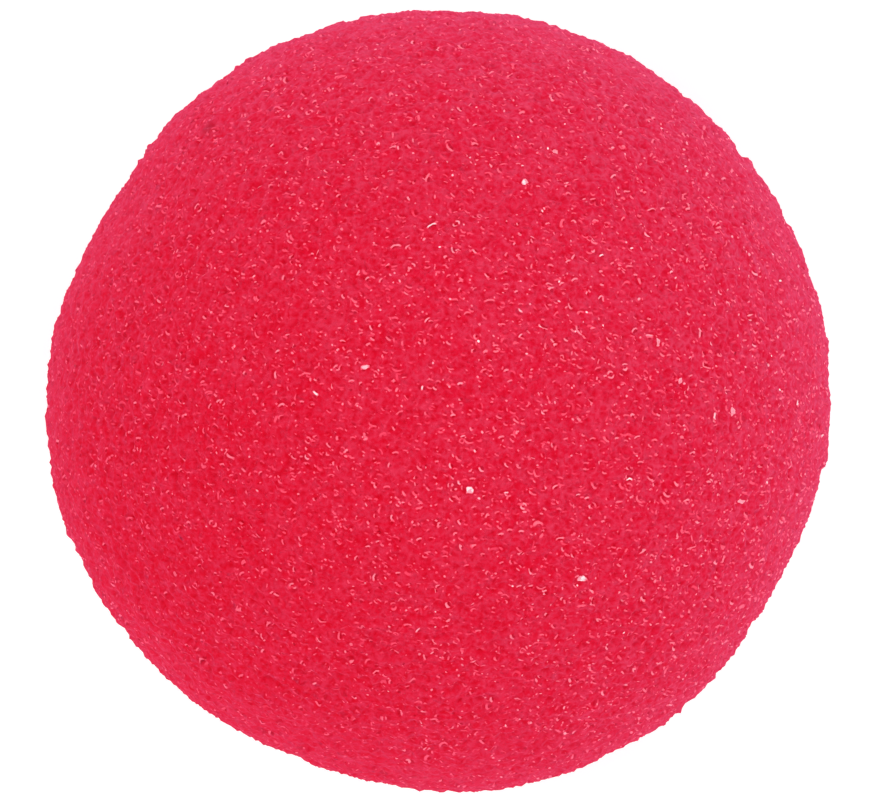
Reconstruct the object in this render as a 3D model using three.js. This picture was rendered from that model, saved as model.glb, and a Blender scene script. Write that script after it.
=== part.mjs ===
// A foam clown nose: one ball of open-cell foam, with a pocket cut into its back for the wearer's nose.
// Lengths are in millimetres, angles in degrees, and +Z is up.
// It lies on its flat back, front up, and the origin is the middle of that back.
// Worn, +Z points out of the face and +Y up to the forehead.
import * as THREE from "three";

// The ball
const ballDiameter = 50;
const edgeRound = 1.2; // rounding between the ball and the flat back

// The pocket, whose sections are ovals that are longer along Y
const mouthLength = 20; // along Y
const mouthWidth = 16; // along X
const lipRound = 1.2; // soft edge round the mouth
const ringWidth = 1.2; // flat back beyond the lip, at the two ends of the mouth
const pocketDepth = 26; // from the flat back to the deepest point
const domeLength = 18; // along Y, where the pocket's domed end begins
const domeHeight = 8;

// Where the foam was cut fuller or flatter than a true circle, seen from the front.
// at: the middle, as an angle from +X towards +Y. rise: a share of the ball's radius. spread: half the width.
const cutWaves = [
  { at: 30, rise: 0.003, spread: 28 },
  { at: 105, rise: -0.001, spread: 22 },
  { at: 148, rise: -0.021, spread: 12 },
  { at: 194, rise: 0.014, spread: 17 },
  { at: 247, rise: -0.015, spread: 12 },
  { at: 288, rise: 0.008, spread: 14 },
  { at: 332, rise: -0.016, spread: 15 },
];

// Facets
const facetsAround = 72;
const facetsOverBall = 30;
const facetsPerRounding = 4;
const facetsUpWall = 4;
const facetsOverDome = 7;

const foam = new THREE.MeshStandardMaterial({ color: 0xe42845, roughness: 0.8, metalness: 0 });

// The rounding at the edge touches the flat back at ringRadius and lies inside the ball,
// which settles how high the ball's centre is above its back.
const ballRadius = ballDiameter / 2;
const ringRadius = mouthLength / 2 + lipRound + ringWidth;
const centreHeight = edgeRound + Math.sqrt((ballRadius - edgeRound) ** 2 - ringRadius ** 2);

// Points on an arc of the profile, where x is the distance from the axis and y the height.
function arc(x, y, radiusX, radiusY, from, to, facets) {
  const [start, end] = [from, to].map(THREE.MathUtils.degToRad);
  return new THREE.EllipseCurve(x, y, radiusX, radiusY, start, end, end < start).getPoints(facets);
}

// From the pocket's deepest point, down its wall and round its lip.
function pocketProfile() {
  const dome = arc(0, pocketDepth - domeHeight, domeLength / 2, domeHeight, 90, 0, facetsOverDome);
  const lip = arc(mouthLength / 2 + lipRound, lipRound, lipRound, lipRound, 180, 270, facetsPerRounding);
  const wall = new THREE.LineCurve(dome.at(-1), lip[0]).getPoints(facetsUpWall);
  return [...dome, ...wall.slice(1, -1), ...lip];
}

// From the flat back's edge, round it and over the ball to the front.
function ballProfile() {
  const edgeEnd = THREE.MathUtils.radToDeg(Math.atan2(edgeRound - centreHeight, ringRadius));
  const edge = arc(ringRadius, edgeRound, edgeRound, edgeRound, -90, edgeEnd, facetsPerRounding);
  const ball = arc(0, centreHeight, ballRadius, ballRadius, edgeEnd, 90, facetsOverBall);
  return [...edge, ...ball.slice(1)];
}

// How much fuller than a true circle the ball is at an angle round the axis, as a share of its radius.
function cutShare(angle) {
  return cutWaves.reduce((sum, { at, rise, spread }) => {
    const away = THREE.MathUtils.euclideanModulo(angle - at + 180, 360) - 180;
    return sum + rise * Math.exp(-((away / spread) ** 2));
  }, 0);
}

// Spins the whole profile round Z, then narrows the pocket to an oval and gives the ball its cut outline.
function noseGeometry() {
  const pocket = pocketProfile();
  const profile = [...pocket, ...ballProfile()];
  const geometry = new THREE.LatheGeometry(profile, facetsAround).rotateX(Math.PI / 2);
  const position = geometry.getAttribute("position");
  const point = new THREE.Vector3();
  for (let i = 0; i < position.count; i++) {
    point.fromBufferAttribute(position, i);
    if (i % profile.length < pocket.length) {
      point.x *= mouthWidth / mouthLength;
    } else {
      const angle = THREE.MathUtils.radToDeg(Math.atan2(point.y, point.x));
      const outOfAxis = Math.hypot(point.x, point.y) / ballRadius;
      const fuller = 1 + cutShare(angle) * outOfAxis ** 4; // fades above and below the widest section
      point.x *= fuller;
      point.y *= fuller;
    }
    position.setXYZ(i, point.x, point.y, point.z);
  }
  return geometry;
}

const noseFoam = new THREE.Mesh(noseGeometry(), foam);
noseFoam.name = "nose_foam";

const clownNose = new THREE.Group();
clownNose.add(noseFoam);

export default clownNose;
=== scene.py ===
# A foam clown nose that lies on its flat back on a pale floor, seen from straight above.
# Its skin is modelled whole, cut into shallow open cells, and coloured as red sponge foam.
import math

import bpy
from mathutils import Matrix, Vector


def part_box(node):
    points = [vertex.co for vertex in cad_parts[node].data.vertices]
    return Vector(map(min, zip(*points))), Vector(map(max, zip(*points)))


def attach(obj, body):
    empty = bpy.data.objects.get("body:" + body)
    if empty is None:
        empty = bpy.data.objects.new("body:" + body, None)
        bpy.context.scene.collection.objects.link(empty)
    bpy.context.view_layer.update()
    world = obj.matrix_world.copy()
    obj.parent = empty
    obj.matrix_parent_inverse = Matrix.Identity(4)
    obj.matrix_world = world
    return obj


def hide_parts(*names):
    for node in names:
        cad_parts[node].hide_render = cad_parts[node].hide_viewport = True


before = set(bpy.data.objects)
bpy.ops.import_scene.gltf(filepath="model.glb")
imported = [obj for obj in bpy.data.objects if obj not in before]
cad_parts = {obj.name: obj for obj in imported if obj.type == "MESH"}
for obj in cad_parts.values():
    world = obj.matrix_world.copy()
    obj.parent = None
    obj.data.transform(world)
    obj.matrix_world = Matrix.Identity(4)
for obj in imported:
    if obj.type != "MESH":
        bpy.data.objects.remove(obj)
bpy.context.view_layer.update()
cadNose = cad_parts["nose_foam"]
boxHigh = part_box("nose_foam")[1]
mm = 0.001

# The nose's own sizes; the flats of its cut outline are taken from the frame
nose = {
    "radius": 25 * mm,
    "mouthLength": 20 * mm,     # along Y
    "mouthWidth": 16 * mm,      # along X
    "edgeRound": 1.2 * mm,      # of the pocket's lip, and of the edge round the flat back
    "pocketDepth": 26 * mm,
    "domeLength": 18 * mm,      # along Y, where the pocket's end begins
    "domeHeight": 8 * mm,
    "segments": 96,
    "rings": 64,
    "wallSteps": 12,
    "domeSteps": 8,
    "edgeSteps": 5,
    "near": 0.01 * mm,          # closer than this to the floor is on it
    "weld": 0.001 * mm,         # the flat cut joins what is closer together than this
    "facesDown": -0.99,         # a normal lower than this points straight down
}
nose["middle"] = boxHigh.z - nose["radius"]    # height of the ball's middle
print("frame loaded, the ball's middle is", round(nose["middle"] / mm, 2), "mm up")


def deselectAll():
    if bpy.context.mode != "OBJECT":
        bpy.ops.object.mode_set(mode="OBJECT")
    bpy.ops.object.select_all(action="DESELECT")


def makeActive(piece):
    deselectAll()
    piece.select_set(True)
    bpy.context.view_layer.objects.active = piece


def editMode(piece):
    makeActive(piece)
    bpy.ops.object.mode_set(mode="EDIT")
    bpy.ops.mesh.select_mode(type="FACE")
    bpy.ops.mesh.select_all(action="DESELECT")


def selectWhere(piece, kind, test):
    # edit mode must be left for a selection to be set by code
    bpy.ops.object.mode_set(mode="OBJECT")
    parts = {"EDGE": piece.data.edges, "FACE": piece.data.polygons}[kind]
    for part in parts:
        part.select = test(part)
    bpy.ops.object.mode_set(mode="EDIT")


def applyModifier(piece, kind, **settings):
    makeActive(piece)
    modifier = piece.modifiers.new(kind.lower(), kind)
    for key, value in settings.items():
        setattr(modifier, key, value)
    bpy.ops.object.modifier_apply(modifier=modifier.name)


# The camera looks straight down, as the photo looks at the nose's front
view = {
    "height": 450 * mm,         # above the ball's widest section
    "frameWidth": 56.45 * mm,   # what the frame's long side takes in there
    "sensor": 36,
    "near": 0.05,
    "far": 5,
}
deselectAll()
bpy.ops.object.camera_add(location=(0, 0, nose["middle"] + view["height"]), rotation=(0, 0, 0))
camera = bpy.context.object
camera.data.sensor_width = view["sensor"]
camera.data.lens = view["sensor"] * view["height"] / view["frameWidth"]
camera.data.clip_start = view["near"]
camera.data.clip_end = view["far"]
bpy.context.scene.camera = camera

# Plain soft studio light: a white room and three wide lamps
light = {
    "sky": 0.97,
    "distance": 0.6,
    "size": 0.20,
    "lamps": {
        "keyLamp": {"azimuth": 55, "elevation": 48, "power": 0.34},
        "sideLamp": {"azimuth": 175, "elevation": 48, "power": 0.30},
        "lowLamp": {"azimuth": 290, "elevation": 48, "power": 0.30},
    },
}
bpy.context.scene.view_settings.view_transform = "Standard"
room = bpy.data.worlds.new("room")
bpy.context.scene.world = room
room.use_nodes = True
room.node_tree.nodes["Background"].inputs["Color"].default_value = (1, 1, 1, 1)
room.node_tree.nodes["Background"].inputs["Strength"].default_value = light["sky"]
for lampName, lamp in light["lamps"].items():
    turn, lift = math.radians(lamp["azimuth"]), math.radians(lamp["elevation"])
    way = Vector((math.cos(turn) * math.cos(lift), math.sin(turn) * math.cos(lift), math.sin(lift)))
    spot = Vector((0, 0, nose["middle"])) + way * light["distance"]
    bpy.ops.object.light_add(type="AREA", location=spot, rotation=way.to_track_quat("Z", "Y").to_euler())
    bpy.context.object.name = lampName
    bpy.context.object.data.shape = "DISK"
    bpy.context.object.data.size = light["size"]
    bpy.context.object.data.energy = lamp["power"]

# The floor, a white sheet that shines a little
paperSheet = {
    "side": 1.6,
    "colour": (0.93, 0.93, 0.93, 1),
    "roughness": 0.9,
    "glow": 0.30,
}
bpy.ops.mesh.primitive_plane_add(size=paperSheet["side"], location=(0, 0, 0))
floor = bpy.context.object
floor.name = "floor"
paper = bpy.data.materials.new("paper")
paper.use_nodes = True
paperShader = paper.node_tree.nodes["Principled BSDF"]
paperShader.inputs["Base Color"].default_value = paperSheet["colour"]
paperShader.inputs["Roughness"].default_value = paperSheet["roughness"]
paperShader.inputs["Emission Color"].default_value = (1, 1, 1, 1)
paperShader.inputs["Emission Strength"].default_value = paperSheet["glow"]
floor.data.materials.append(paper)
print("camera, lamps and floor are in place")


# The whole skin of the nose: ball, flat back, lip and pocket, as one closed surface
def modelNoseSkin():
    radius, middle, near = nose["radius"], nose["middle"], nose["near"]
    deselectAll()
    bpy.ops.mesh.primitive_uv_sphere_add(
        segments=nose["segments"], ring_count=nose["rings"], radius=radius, location=(0, 0, middle))
    skin = bpy.context.object
    skin.name = "foamSkin"
    bpy.ops.object.transform_apply(location=True, rotation=True, scale=True)

    # trimmed flat at the back, where the pocket's oval mouth is set in
    editMode(skin)
    bpy.ops.mesh.select_all(action="SELECT")
    bpy.ops.mesh.bisect(
        plane_co=(0, 0, 0), plane_no=(0, 0, 1), use_fill=True, clear_inner=True, threshold=nose["weld"])
    selectWhere(skin, "FACE", lambda face: face.normal.z < nose["facesDown"] and face.center.z < near)
    backRadius = math.sqrt(radius ** 2 - middle ** 2)
    mouth = nose["mouthLength"] / 2
    bpy.ops.mesh.inset(thickness=backRadius - mouth)
    squeeze = nose["mouthWidth"] / nose["mouthLength"]
    bpy.ops.transform.resize(value=(squeeze, 1, 1), center_override=(0, 0, 0))

    # one ring of the pocket more: so much higher, and this half length instead of the last one
    def raisePocket(rise, half, lastHalf):
        bpy.ops.mesh.extrude_region_move(TRANSFORM_OT_translate={"value": (0, 0, rise)})
        if half > 0:
            share = half / lastHalf
            bpy.ops.transform.resize(value=(share, share, 1), center_override=(0, 0, 0))

    # the pocket's wall, then its domed end
    domeHalf = nose["domeLength"] / 2
    wallTop = nose["pocketDepth"] - nose["domeHeight"]
    lastHalf = mouth
    for step in range(1, nose["wallSteps"] + 1):
        half = mouth + (domeHalf - mouth) * step / nose["wallSteps"]
        raisePocket(wallTop / nose["wallSteps"], half, lastHalf)
        lastHalf = half
    lastHeight = 0
    for step in range(1, nose["domeSteps"]):
        angle = math.radians(90 * step / nose["domeSteps"])
        half, height = domeHalf * math.cos(angle), nose["domeHeight"] * math.sin(angle)
        raisePocket(height - lastHeight, half, lastHalf)
        lastHalf, lastHeight = half, height
    raisePocket(nose["domeHeight"] - lastHeight, 0, lastHalf)
    bpy.ops.mesh.merge(type="CENTER")

    # soft lip and soft outer edge: the edges that run round the flat back, not across it
    def isOutside(place):
        return math.hypot(place.x, place.y) > (backRadius + mouth) / 2

    def isRimEdge(edge):
        ends = [skin.data.vertices[k].co for k in edge.vertices]
        return all(abs(end.z) < near for end in ends) and isOutside(ends[0]) == isOutside(ends[1])

    bpy.ops.mesh.select_mode(type="EDGE")
    selectWhere(skin, "EDGE", isRimEdge)
    bpy.ops.mesh.bevel(
        offset=nose["edgeRound"], offset_type="OFFSET", segments=nose["edgeSteps"], affect="EDGES")
    bpy.ops.mesh.select_all(action="SELECT")
    bpy.ops.mesh.normals_make_consistent(inside=False)
    bpy.ops.object.mode_set(mode="OBJECT")

    # the ball's cut outline comes from the frame
    applyModifier(skin, "SHRINKWRAP", target=cadNose, wrap_method="NEAREST_SURFACEPOINT")
    applyModifier(skin, "SUBSURF", levels=1, render_levels=1)
    return skin


# Gives a socket what it works with: another node's output, or a plain number or colour
def feed(tree, socket, value):
    if isinstance(value, bpy.types.NodeSocket):
        tree.links.new(value, socket)
    else:
        socket.default_value = value


# Adds a math node and gives back what it puts out; a kind that ends in _V works on vectors
def calculate(tree, kind, *values):
    vector = kind.endswith("_V") or kind in ("NORMALIZE", "DOT_PRODUCT", "LENGTH", "SCALE")
    node = tree.nodes.new("ShaderNodeVectorMath" if vector else "ShaderNodeMath")
    node.operation = kind.replace("_V", "")
    sockets = node.inputs
    if kind == "SCALE":
        sockets = [node.inputs["Vector"], node.inputs["Scale"]]
    for socket, value in zip(sockets, values):
        feed(tree, socket, value)
    if kind in ("DOT_PRODUCT", "LENGTH"):
        return node.outputs["Value"]
    return node.outputs[0]


# From one range of numbers to another, eased at both ends unless it is straight
def fade(tree, value, fromLow, fromHigh, toLow=0.0, toHigh=1.0, smooth=True):
    node = tree.nodes.new("ShaderNodeMapRange")
    if smooth:
        node.interpolation_type = "SMOOTHSTEP"
    numbers = {"From Min": fromLow, "From Max": fromHigh, "To Min": toLow, "To Max": toHigh, "Value": value}
    for name, number in numbers.items():
        feed(tree, node.inputs[name], number)
    return node.outputs[0]


# Between two ends, as far along as a chance from 0 to 1 says
def between(tree, chance, ends):
    return fade(tree, chance, 0.0, 1.0, *ends, smooth=False)


def splitUp(tree, vector):
    node = tree.nodes.new("ShaderNodeSeparateXYZ")
    tree.links.new(vector, node.inputs[0])
    return node.outputs


# The patterns have no end: each layer is taken from a place of its own, so no two are in step
layerAt = {"warp": (3, 5, 8), "mottle": (11, 4, 6), "cloud": (2, 9, 4), "beads": (3.7, 6.1, 2.9)}
cellScatter = 0.85    # how far the cells' middles are from an even grid, from 0 to 1


def inCells(tree, place, size, offset):
    return calculate(tree, "ADD_V", calculate(tree, "SCALE", place, 1 / size), offset)


def noise(tree, place, size, detail=0.0, offset=(0, 0, 0), colour=False):
    node = tree.nodes.new("ShaderNodeTexNoise")
    node.inputs["Scale"].default_value = 1.0
    node.inputs["Detail"].default_value = detail
    tree.links.new(inCells(tree, place, size, offset), node.inputs["Vector"])
    return node.outputs["Color" if colour else "Fac"]


# The same place, shifted a little this way and that
def warped(tree, place, amount, size):
    wave = noise(tree, place, size, 1.0, layerAt["warp"], colour=True)
    shift = calculate(tree, "SUBTRACT_V", wave, (0.5, 0.5, 0.5))
    return calculate(tree, "ADD_V", place, calculate(tree, "SCALE", shift, 2 * amount))


# The nearest cell: the way from its middle, how far that is, and a colour of its own
def nearestCell(tree, place, size, offset=(0, 0, 0)):
    unit = inCells(tree, place, size, offset)
    voronoi = tree.nodes.new("ShaderNodeTexVoronoi")
    voronoi.inputs["Scale"].default_value = 1.0
    voronoi.inputs["Randomness"].default_value = cellScatter
    tree.links.new(unit, voronoi.inputs["Vector"])
    away = calculate(tree, "SUBTRACT_V", unit, voronoi.outputs["Position"])
    return away, voronoi.outputs["Distance"], voronoi.outputs["Color"]


# The part of a way that runs along the skin, and its length
def alongSkin(tree, away, normal):
    lean = calculate(tree, "DOT_PRODUCT", away, normal)
    along = calculate(tree, "SUBTRACT_V", away, calculate(tree, "SCALE", normal, lean))
    return along, calculate(tree, "LENGTH", along)


# How the skin is cut: open cells, waves from struts to the cutter's strokes, and tears of the outline
cut = {
    "cell": 0.70 * mm,          # from one cell to the next
    "radius": (0.45, 0.75),     # smallest and largest bubble, as shares of that size
    "deepest": 0.16,            # depth of a cut bubble below the skin, as a share of that size
    "narrow": 1.5,              # higher makes a bubble's bowl narrower
    "warp": 0.16 * mm,          # how far the cells are out of round
    "warpSize": 0.6 * mm,
    "mesh": 0.19 * mm,
    "triangles": 196000,
    "waves": {
        "struts": {"size": 0.44 * mm, "height": 0.22 * mm, "at": (0, 7, 0)},
        "cells": {"size": 1.0 * mm, "height": 0.10 * mm, "at": (5, 7, 1)},
        "pulls": {"size": 2.4 * mm, "height": 0.14 * mm, "at": (10, 7, 2)},
        "strokes": {"size": 6.0 * mm, "height": 0.20 * mm, "at": (15, 7, 3)},
    },
    "tearSize": 0.55 * mm,
    "tearEdge": (1.2, 0.6),     # from nothing of a tear to all of it, in such sizes
    "tuftHeight": 1.1 * mm,
    "nickHeight": 3.6 * mm,     # taller, as the ball on either side would hide a short one
    # at an angle from +X towards +Y, the skin stands this far out, or in where it is less than nothing
    "tears": [
        {"at": 39.5, "out": -0.21 * mm}, {"at": 309, "out": -0.17 * mm}, {"at": 349, "out": -0.16 * mm},
        {"at": 27.5, "out": -0.15 * mm}, {"at": 324, "out": -0.15 * mm}, {"at": 103, "out": -0.14 * mm},
        {"at": 139.5, "out": 0.16 * mm}, {"at": 8, "out": 0.14 * mm},
    ],
}


# How deep the nearest bubble is cut into the skin
def bubbleDepth(tree, place):
    outOfRound = warped(tree, place, cut["warp"], cut["warpSize"])
    far, colour = nearestCell(tree, outOfRound, cut["cell"])[1:]
    share = calculate(tree, "DIVIDE", far, between(tree, splitUp(tree, colour)[0], cut["radius"]))
    bowl = calculate(tree, "SUBTRACT", 1.0, calculate(tree, "MULTIPLY", share, share))
    bowl = calculate(tree, "POWER", calculate(tree, "MAXIMUM", bowl, 0.0), cut["narrow"])
    return calculate(tree, "MULTIPLY", bowl, cut["deepest"] * cut["cell"])


# Moves the skin's points along its normals, and keeps where they were for the foam's colours
def cutFoam():
    tree = bpy.data.node_groups.new("cutFoam", "GeometryNodeTree")
    tree.interface.new_socket("Geometry", in_out="INPUT", socket_type="NodeSocketGeometry")
    tree.interface.new_socket("Geometry", in_out="OUTPUT", socket_type="NodeSocketGeometry")
    enter = tree.nodes.new("NodeGroupInput")
    leave = tree.nodes.new("NodeGroupOutput")
    place = tree.nodes.new("GeometryNodeInputPosition").outputs[0]
    normal = tree.nodes.new("GeometryNodeInputNormal").outputs[0]
    geometry = enter.outputs[0]
    for name, value in (("skinPlace", place), ("skinNormal", normal)):
        store = tree.nodes.new("GeometryNodeStoreNamedAttribute")
        store.data_type = "FLOAT_VECTOR"
        store.domain = "POINT"
        store.inputs["Name"].default_value = name
        tree.links.new(geometry, store.inputs["Geometry"])
        tree.links.new(value, store.inputs["Value"])
        geometry = store.outputs["Geometry"]

    push = calculate(tree, "MULTIPLY", bubbleDepth(tree, place), -1.0)
    for wave in cut["waves"].values():
        swing = calculate(tree, "SUBTRACT", noise(tree, place, wave["size"], 0.0, wave["at"]), 0.5)
        push = calculate(tree, "MULTIPLY_ADD", swing, 2 * wave["height"], push)
    # the place, set out to the full ball, so that a flat of the outline is reached too
    around = calculate(tree, "NORMALIZE", calculate(tree, "MULTIPLY_V", place, (1, 1, 0)))
    level = calculate(tree, "MULTIPLY_V", place, (0, 0, 1))
    around = calculate(tree, "ADD_V", calculate(tree, "SCALE", around, nose["radius"]), level)
    for tear in cut["tears"]:
        tall = cut["tuftHeight"] if tear["out"] > 0 else cut["nickHeight"]
        tearShare = (1 / cut["tearSize"], 1 / cut["tearSize"], 1 / tall)
        turn = math.radians(tear["at"])
        spot = Vector((math.cos(turn), math.sin(turn), 0)) * nose["radius"]
        spot.z = nose["middle"] + nose["radius"] ** 2 / view["height"]    # where the camera sees the outline
        away = calculate(tree, "MULTIPLY_V", calculate(tree, "SUBTRACT_V", around, spot), tearShare)
        close = fade(tree, calculate(tree, "LENGTH", away), *cut["tearEdge"])
        push = calculate(tree, "MULTIPLY_ADD", close, tear["out"], push)
    moved = calculate(tree, "ADD_V", place, calculate(tree, "SCALE", normal, push))
    moved = calculate(tree, "MAXIMUM_V", moved, (-1.0, -1.0, 0.0))    # nothing sinks below the flat back
    move = tree.nodes.new("GeometryNodeSetPosition")
    tree.links.new(geometry, move.inputs["Geometry"])
    tree.links.new(moved, move.inputs["Position"])
    tree.links.new(move.outputs["Geometry"], leave.inputs[0])
    return tree


foam = modelNoseSkin()
print("the skin has", len(foam.data.polygons), "faces")
applyModifier(foam, "REMESH", mode="VOXEL", voxel_size=cut["mesh"])
applyModifier(foam, "NODES", node_group=cutFoam())
squares = len(foam.data.polygons)    # each one is two triangles
print("the cut foam has", squares, "faces")
applyModifier(foam, "DECIMATE", ratio=cut["triangles"] / (2 * squares))
for point in foam.data.vertices:
    point.co.z = max(point.co.z, 0.0)    # thinning may push a point of the flat back into the floor
print("thinned, it has", len(foam.data.polygons), "triangles")

# The red of the foam, with painted light towards one side, painted sheen towards the rim and painted shade
# underneath; a side is a way that the skin may face, and the height of a facing is 1 straight up, 0 sideways
# and -1 straight down
red = {
    "middle": (0.724, 0.0158, 0.0530),       # at the middle of the front
    "litSideBy": (0.012, 0.0082, 0.0205),      # what painted light adds towards the lit side
    "rimSheenBy": (0.014, 0.0072, 0.0270),        # and painted sheen towards the ball's widest section
    "rimTopSheenBy": (-0.010, 0.0076, 0.0160),    # more of that painted sheen at the top of the rim
    "edgeSheenBy": (-0.008, 0.0095, 0.0170),      # and more painted sheen close to the widest section
    "litSide": (0.866, 0.500, 0.0),
    "rimTop": (0.300, 0.950, 0.0),
    "rimTopPatches": 0.4,
    "rimPower": 1.5,                         # higher keeps the rim's painted sheen closer to the widest section
    "edgePower": 4.0,
    "rimBelow": (0.2, -0.8, 1.0, 0.60),      # it weakens from the first height of a facing to the second
    "undersideShade": (0.92, 0.87, 0.89),         # painted shade: what is left of the red where the skin faces down
    "undersideShadeAt": (0.12, -0.45),
    "roughness": 0.85,
    "specular": 0.03,
    "fuzz": 0.10,                            # the bloom of loose struts where the skin is seen at a slant
    "fuzzRoughness": 0.50,
    "fuzzTint": (0.95, 0.30, 0.82, 1),
}
# The foam's texture; dark and light are given as shares of the red
texture = {
    "grain": 0.24 * mm,
    "mottle": 0.8 * mm,
    "cloud": 2.6 * mm,
    "mottleShare": 0.65,                     # beside one part of grain
    "cloudShare": 0.30,
    "average": 0.975,                        # of the three together
    "reach": 0.21,                           # the darkest and lightest are this far from it
    "dark": (0.99, 0.38, 0.62),
    "light": (1.01, 1.78, 1.41),
    "hollowShade": (0.94, 0.42, 0.60),            # painted shade in the deeper cells
    "hollowShadeAt": (0.42, 0.16),                # from their edge to where they are darkest, in cells
    "hollowShadeMost": 0.9,
    "shade": (0.70, 0.34, 0.45),             # in the shaded cell walls
    "speckAt": (0.45, 0.18),                 # the lowest grain is shaded too
    "speckMost": 0.35,
    "hazeAt": (0.60, 0.90, 0.0, 0.08),       # and the highest glints a little
    "calm": (0.60, 0.15, 1.0, 0.50),         # the dark and the light are weaker where the skin turns away
    "bump": 0.7,
    "bumpGrain": 0.12 * mm,
    "bumpBowl": 0.3,                         # depth of the cells' bowls, as a share of their size
}
# How bright the painted glints are, and how they change over the ball
sparkle = {
    "power": 0.85,                           # lower brings the faint and the bright ones closer
    "scale": 1.03,
    "brightSide": (0.985, 0.174, 0.0),
    "bySide": 0.36,                          # what facing that side adds
    "byFront": 0.60,                         # and what facing up adds
    "plain": 0.32,
    "least": 0.28,
    "thin": (0.9, 0.25, 1.0, 0.65),          # their rims are thicker where the skin turns away
    "warp": 0.07 * mm,
    "warpSize": 0.4 * mm,
    "layers": (7.3, 1.9, 4.1),               # from one layer of glints to the next
    "pink": (0.96, 0.055, 0.120, 1),         # of faint glints, on the front and on the rim
    "pinkRim": (0.96, 0.110, 0.210, 1),
    "pinkAt": (0.0, 0.14),
    "pale": (1.0, 0.40, 0.49, 1),            # of bright ones
    "paleAt": (0.10, 1.0),
    "white": (0.98, 0.78, 0.80, 1),          # and of the brightest, such as the flakes
    "whiteAt": (0.90, 1.15),
}
# Cell rims that shine, as painted highlights: the cells they lie on, their radius there, how wide and how
# long they are,
# and how bright on average; a flat one lies on the skin, a double one shines on both sides
glints = {
    "long": {"cell": 1.12 * mm, "radius": (0.26, 0.46), "width": 0.050 * mm, "reach": (0.62, 0.95),
             "mean": 0.30},
    "rims": {"cell": 0.70 * mm, "radius": (0.30, 0.46), "width": 0.048 * mm, "reach": (0.58, 0.95),
             "mean": 0.22, "flat": True},
    "short": {"cell": 0.74 * mm, "radius": (0.26, 0.46), "width": 0.052 * mm, "reach": (0.55, 0.95),
              "mean": 0.23},
    "dots": {"cell": 0.53 * mm, "radius": (0.24, 0.42), "width": 0.052 * mm, "reach": (0.62, 0.96),
             "mean": 0.20},
    "hazy": {"cell": 0.92 * mm, "radius": (0.26, 0.44), "width": 0.064 * mm, "reach": (0.40, 0.92),
             "mean": 0.12},
    "pits": {"cell": 1.02 * mm, "radius": (0.11, 0.20), "width": 0.048 * mm, "reach": (0.10, 0.70),
             "mean": 0.26, "double": True},
}
rim = {
    "lie": (0.4, 1.0, 0.2),     # the rims shine along X more than across it
    "from": (0.5, 0.58, 0.5),   # chance's middle; the side of a cell towards -Y shines more often
    "slant": -18,               # and all of them are turned by so many degrees
    "taper": 0.8,               # how gently an arc dims towards its ends
    "opensAt": (0.35, 0.6),     # a cell that is cut steeply enough shows its rim
    "edge": (1.5, 0.5),         # from nothing of a rim to all of it, in widths of the rim
    "wallAt": 2.8,              # the shaded wall beside a rim, in the same widths
    "wallEdge": (2.5, 0.8),
    "wallMost": 1.4,
    "outside": 0.45,            # how much of that shade lies outside the rim
}
beads = {"cell": 0.50 * mm, "width": 0.066 * mm, "edge": (1.4, 0.5), "mean": 0.36}    # small round painted glints

# The whitest flakes, painted reflections: place on the ball's front and size, in mm
flakes = [
    {"x": 1.82, "y": -5.46, "wide": 0.49, "high": 0.42, "bright": 1.15},
    {"x": 8.63, "y": -10.89, "wide": 0.55, "high": 0.31, "bright": 1.1},
    {"x": 5.20, "y": 13.35, "wide": 0.40, "high": 0.34, "bright": 1.1},
    {"x": 18.01, "y": -0.74, "wide": 0.20, "high": 0.56, "bright": 0.8},
    {"x": -4.55, "y": 2.00, "wide": 0.44, "high": 0.25, "bright": 0.9},
    {"x": 18.78, "y": -6.32, "wide": 0.37, "high": 0.25, "bright": 0.8},
    {"x": 13.34, "y": 3.55, "wide": 0.20, "high": 0.43, "bright": 0.8},
    {"x": 7.14, "y": 15.38, "wide": 0.31, "high": 0.25, "bright": 0.8},
    {"x": 14.77, "y": 1.16, "wide": 0.25, "high": 0.37, "bright": 0.8},
]
# How torn the painted reflections are and how shaded; an edge runs from nothing to all, in halves of the
# flake's size
flakeGlare = {
    "warp": 0.10 * mm,
    "warpSize": 0.25 * mm,
    "patchy": (0.35, 0.60, 0.75, 1.10),
    "depth": 4 * mm,
    "edge": (1.15, 0.85),
    "shadeEdge": (2.0, 1.2),
    "shadeShare": 0.5,
}
# A brownish stain near the edge, at the upper left, where the skin lies a little inside the full ball
stain = {
    "x": -14.51,
    "y": 17.01,
    "edge": (0.75, 0.1),        # from nothing of it to all of it, in mm from its middle
    "heightShare": 0.35,        # how much a distance up or down counts
    "colour": (0.47, 0.010, 0.030, 1),
    "strength": 0.8,
}


# A glint's brightness, most of them faint, from a chance between 0 and 1
def brightness(tree, chance, mean):
    bright = calculate(tree, "MULTIPLY", calculate(tree, "LOGARITHM", chance, math.e), -1.0)
    bright = calculate(tree, "POWER", bright, sparkle["power"])
    return calculate(tree, "MULTIPLY", bright, sparkle["scale"] * mean)


def chanceOf(tree, colour):
    chance = tree.nodes.new("ShaderNodeTexWhiteNoise")
    tree.links.new(colour, chance.inputs["Vector"])
    return chance.outputs


def beadGlints(tree, place):
    far, colour = nearestCell(tree, place, beads["cell"], layerAt["beads"])[1:]
    lit = brightness(tree, chanceOf(tree, colour)["Value"], beads["mean"])
    width = beads["width"] / beads["cell"]
    bead = fade(tree, far, beads["edge"][0] * width, beads["edge"][1] * width)
    return calculate(tree, "MULTIPLY", bead, lit)


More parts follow.
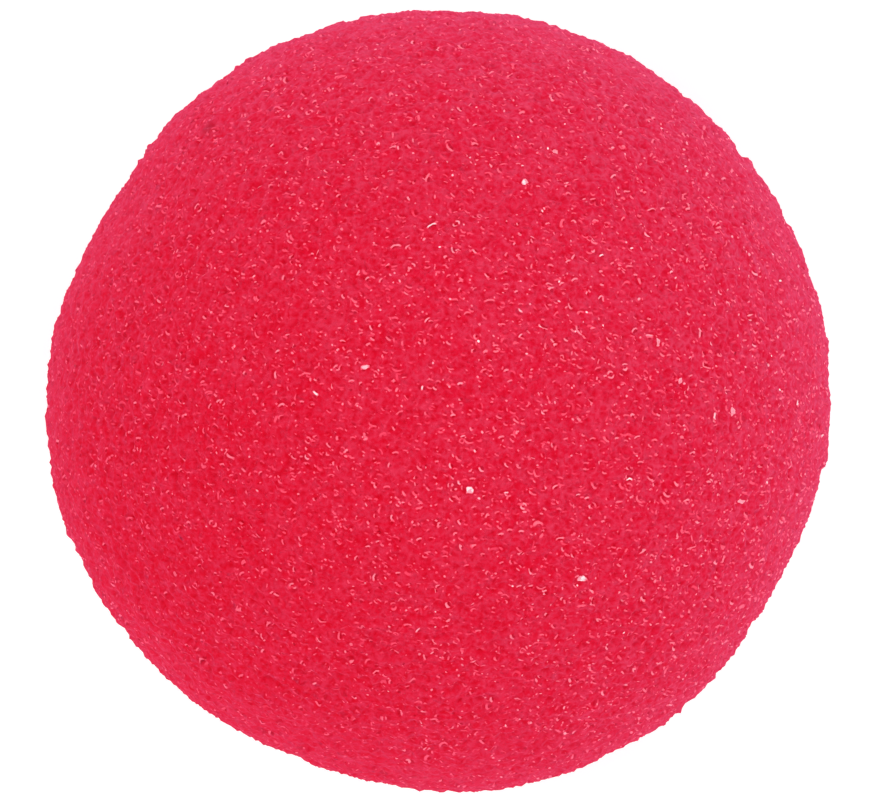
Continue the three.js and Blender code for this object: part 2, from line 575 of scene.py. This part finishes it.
# Arcs of cell rim, and the shaded wall beside each of them
def rimGlints(tree, place, normal, thin, glint, offset):
    away, far, colour = nearestCell(tree, place, glint["cell"], offset)
    chance, pick = chanceOf(tree, colour), splitUp(tree, colour)
    radius = between(tree, pick[0], glint["radius"])
    if glint.get("flat"):
        along, far = alongSkin(tree, away, normal)
        outward = calculate(tree, "NORMALIZE", along)
        toRim = calculate(tree, "SUBTRACT", far, radius)
        opened = 1.0
    else:
        outward = calculate(tree, "NORMALIZE", away)
        lean = calculate(tree, "DOT_PRODUCT", outward, normal)
        steep = calculate(tree, "SUBTRACT", 1.0, calculate(tree, "MULTIPLY", lean, lean))
        steep = calculate(tree, "SQRT", steep)
        toRim = calculate(tree, "DIVIDE", calculate(tree, "SUBTRACT", far, radius), steep)
        opened = fade(tree, steep, *rim["opensAt"])
    toRim = calculate(tree, "MULTIPLY", toRim, thin)
    width = glint["width"] / glint["cell"]
    edge = [share * width for share in rim["edge"]]
    wallEdge = [share * width for share in rim["wallEdge"]]
    ring = fade(tree, calculate(tree, "ABSOLUTE", toRim), *edge)
    beside = calculate(tree, "SUBTRACT", calculate(tree, "ABSOLUTE", toRim), rim["wallAt"] * width)
    wall = fade(tree, calculate(tree, "ABSOLUTE", beside), *wallEdge, 0.0, rim["wallMost"])
    wall = calculate(tree, "MULTIPLY", wall, fade(tree, toRim, -edge[0], edge[0], 1.0, rim["outside"]))

    # the side of the cell that shines
    aim = calculate(tree, "SUBTRACT_V", chance["Color"], rim["from"])
    lie = tree.nodes.new("ShaderNodeVectorRotate")
    lie.rotation_type = "Z_AXIS"
    lie.inputs["Angle"].default_value = math.radians(rim["slant"])
    tree.links.new(calculate(tree, "MULTIPLY_V", aim, rim["lie"]), lie.inputs["Vector"])
    side = calculate(tree, "DOT_PRODUCT", outward, calculate(tree, "NORMALIZE", lie.outputs["Vector"]))
    if glint.get("double"):
        side = calculate(tree, "ABSOLUTE", side)
    start = between(tree, pick[1], glint["reach"])
    full = calculate(tree, "MULTIPLY_ADD", start, 1 - rim["taper"], rim["taper"])
    arc = calculate(tree, "MULTIPLY", fade(tree, side, start, full), opened)
    lit = calculate(tree, "MULTIPLY", arc, brightness(tree, chance["Value"], glint["mean"]))
    shaded = calculate(tree, "MULTIPLY", wall, calculate(tree, "SQRT", lit))
    return calculate(tree, "MULTIPLY", ring, lit), shaded


# A place on the ball's front, from its mm across and up
def onFront(spot):
    height = math.sqrt(nose["radius"] ** 2 - (spot["x"] * mm) ** 2 - (spot["y"] * mm) ** 2)
    return Vector((spot["x"] * mm, spot["y"] * mm, nose["middle"] + height))


def blend(tree, under, over, factor):
    mix = tree.nodes.new("ShaderNodeMix")
    mix.data_type = "RGBA"
    for name, value in (("A", under), ("B", over), ("Factor", factor)):
        feed(tree, mix.inputs[name], value)
    return mix.outputs["Result"]


# Multiplies a colour by shares of it, more so where the amount is near 1
def tint(tree, colour, shares, amount, plain=(1, 1, 1)):
    return calculate(tree, "MULTIPLY_V", colour, blend(tree, (*plain, 1), (*shares, 1), amount))


def attribute(tree, name):
    node = tree.nodes.new("ShaderNodeAttribute")
    node.attribute_name = name
    return node.outputs["Vector"]


# Fine grain and the bowls of the cells, too small for the mesh
def addBump(tree, shader, fine, far):
    depth = texture["bumpBowl"] * cut["cell"]
    bowl = calculate(tree, "MULTIPLY", calculate(tree, "MULTIPLY", far, far), depth)
    bump = tree.nodes.new("ShaderNodeBump")
    bump.inputs["Strength"].default_value = texture["bump"]
    bump.inputs["Distance"].default_value = 1.0
    height = calculate(tree, "MULTIPLY_ADD", fine, texture["bumpGrain"], bowl)
    tree.links.new(height, bump.inputs["Height"])
    tree.links.new(bump.outputs["Normal"], shader.inputs["Normal"])


# All the painted glints of the cells, and the painted shade beside them
def layGlints(tree, place, normal, fine, calm):
    up = splitUp(tree, normal)[2]
    lively = calculate(tree, "DOT_PRODUCT", normal, sparkle["brightSide"])
    front = calculate(tree, "MULTIPLY_ADD", up, sparkle["byFront"], sparkle["plain"])
    lively = calculate(tree, "MULTIPLY_ADD", lively, sparkle["bySide"], front)
    lively = calculate(tree, "MAXIMUM", lively, sparkle["least"])
    thin = fade(tree, up, *sparkle["thin"])
    uneven = warped(tree, place, sparkle["warp"], sparkle["warpSize"])
    specks = calculate(tree, "MULTIPLY", calm, texture["speckMost"])
    shade = fade(tree, fine, *texture["speckAt"], 0.0, specks)
    shining = calculate(tree, "MULTIPLY", beadGlints(tree, uneven), lively)
    total = calculate(tree, "MAXIMUM", fade(tree, fine, *texture["hazeAt"]), shining)
    for step, glint in enumerate(glints.values()):
        offset = tuple(step * part for part in sparkle["layers"])
        onto = place if glint.get("flat") else uneven
        arc, wall = rimGlints(tree, onto, normal, thin, glint, offset)
        total = calculate(tree, "MAXIMUM", total, calculate(tree, "MULTIPLY", arc, lively))
        shade = calculate(tree, "MAXIMUM", shade, wall)
    return total, shade


# Painted reflections on flakes of torn foam, each with a painted shaded edge
def layFlakes(tree, ragged, fine, total, shade):
    patchy = fade(tree, fine, *flakeGlare["patchy"])
    for flake in flakes:
        away = calculate(tree, "SUBTRACT_V", ragged, onFront(flake))
        shares = (2 / (flake["wide"] * mm), 2 / (flake["high"] * mm), 2 / flakeGlare["depth"])
        far = calculate(tree, "LENGTH", calculate(tree, "MULTIPLY_V", away, shares))
        white = fade(tree, far, *flakeGlare["edge"], 0.0, flake["bright"])
        total = calculate(tree, "MAXIMUM", total, calculate(tree, "MULTIPLY", white, patchy))
        dark = fade(tree, far, *flakeGlare["shadeEdge"], 0.0, flakeGlare["shadeShare"] * flake["bright"])
        shade = calculate(tree, "MAXIMUM", shade, dark)
    return total, shade


# The red with its painted light and painted sheen, from the middle of the front to the widest section, and
# how near to that it is
def redWithPaintedLight(tree, normal, coarse):
    up = splitUp(tree, normal)[2]
    # painted light: the red grows pinker towards the lit side
    toLitSide = calculate(tree, "DOT_PRODUCT", normal, red["litSide"])
    toRim = calculate(tree, "POWER", fade(tree, up, 1.0, 0.0, smooth=False), red["rimPower"])
    toRim = calculate(tree, "MULTIPLY", toRim, fade(tree, up, *red["rimBelow"]))
    toTop = calculate(tree, "DOT_PRODUCT", normal, red["rimTop"])
    patches = calculate(tree, "SUBTRACT", coarse, 0.5)
    toTop = calculate(tree, "MULTIPLY_ADD", patches, red["rimTopPatches"], toTop)
    toEdge = calculate(tree, "POWER", toRim, red["edgePower"])
    # painted sheen, pinker towards the widest section and at the top of the rim
    rimSheenBy = calculate(tree, "MULTIPLY_ADD_V", toTop, red["rimTopSheenBy"], red["rimSheenBy"])
    ground = calculate(tree, "MULTIPLY_ADD_V", toLitSide, red["litSideBy"], red["middle"])
    ground = calculate(tree, "MULTIPLY_ADD_V", toRim, rimSheenBy, ground)
    return calculate(tree, "MULTIPLY_ADD_V", toEdge, red["edgeSheenBy"], ground), toRim


def foamRed():
    material = bpy.data.materials.new("foamRed")
    material.use_nodes = True
    tree = material.node_tree
    shader = tree.nodes["Principled BSDF"]
    shader.inputs["Roughness"].default_value = red["roughness"]
    shader.inputs["Specular IOR Level"].default_value = red["specular"]
    shader.inputs["Sheen Weight"].default_value = red["fuzz"]
    shader.inputs["Sheen Roughness"].default_value = red["fuzzRoughness"]
    shader.inputs["Sheen Tint"].default_value = red["fuzzTint"]

    place, normal = attribute(tree, "skinPlace"), attribute(tree, "skinNormal")
    up = splitUp(tree, normal)[2]
    fine = noise(tree, place, texture["grain"], 1.0)
    coarse = noise(tree, place, texture["mottle"], 1.0, layerAt["mottle"])
    broad = noise(tree, place, texture["cloud"], 1.0, layerAt["cloud"])
    calm = fade(tree, up, *texture["calm"])
    away, far = nearestCell(tree, place, cut["cell"])[:2]
    addBump(tree, shader, fine, far)
    ragged = warped(tree, place, flakeGlare["warp"], flakeGlare["warpSize"])
    total, shade = layGlints(tree, place, normal, fine, calm)
    total, shade = layFlakes(tree, ragged, fine, total, shade)
    ground, toRim = redWithPaintedLight(tree, normal, coarse)

    # mottled, with painted shade in the hollows and on the cell walls, and painted shade underneath
    mottle = calculate(tree, "MULTIPLY_ADD", broad, texture["cloudShare"], fine)
    mottle = calculate(tree, "MULTIPLY_ADD", coarse, texture["mottleShare"], mottle)
    mottle = calculate(tree, "MULTIPLY", calculate(tree, "SUBTRACT", mottle, texture["average"]), calm)
    mottle = fade(tree, mottle, -texture["reach"], texture["reach"], smooth=False)
    hollowShadeMost = calculate(tree, "MULTIPLY", calm, texture["hollowShadeMost"])
    hollowShade = fade(tree, alongSkin(tree, away, normal)[1], *texture["hollowShadeAt"], 0.0, hollowShadeMost)
    ground = tint(tree, ground, texture["light"], mottle, texture["dark"])
    ground = tint(tree, ground, texture["hollowShade"], hollowShade)
    ground = tint(tree, ground, texture["shade"], shade)
    ground = tint(tree, ground, red["undersideShade"], fade(tree, up, *red["undersideShadeAt"], smooth=False))

    # the stain, and the painted glints over all
    away = calculate(tree, "SUBTRACT_V", ragged, onFront(stain))
    away = calculate(tree, "MULTIPLY_V", away, (1.0, 1.0, stain["heightShare"]))
    outer, inner = stain["edge"]
    stained = fade(tree, calculate(tree, "LENGTH", away), outer * mm, inner * mm, 0.0, stain["strength"])
    ground = blend(tree, ground, stain["colour"], stained)
    faint = blend(tree, sparkle["pink"], sparkle["pinkRim"], toRim)
    ground = blend(tree, ground, faint, fade(tree, total, *sparkle["pinkAt"], smooth=False))
    ground = blend(tree, ground, sparkle["pale"], fade(tree, total, *sparkle["paleAt"], smooth=False))
    ground = blend(tree, ground, sparkle["white"], fade(tree, total, *sparkle["whiteAt"], smooth=False))
    tree.links.new(ground, shader.inputs["Base Color"])
    return material


foam.data.materials.clear()
foam.data.materials.append(foamRed())
foam.data.shade_smooth()
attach(foam, "root")
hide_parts("nose_foam")
print("the foam has its red, its glints and its place")

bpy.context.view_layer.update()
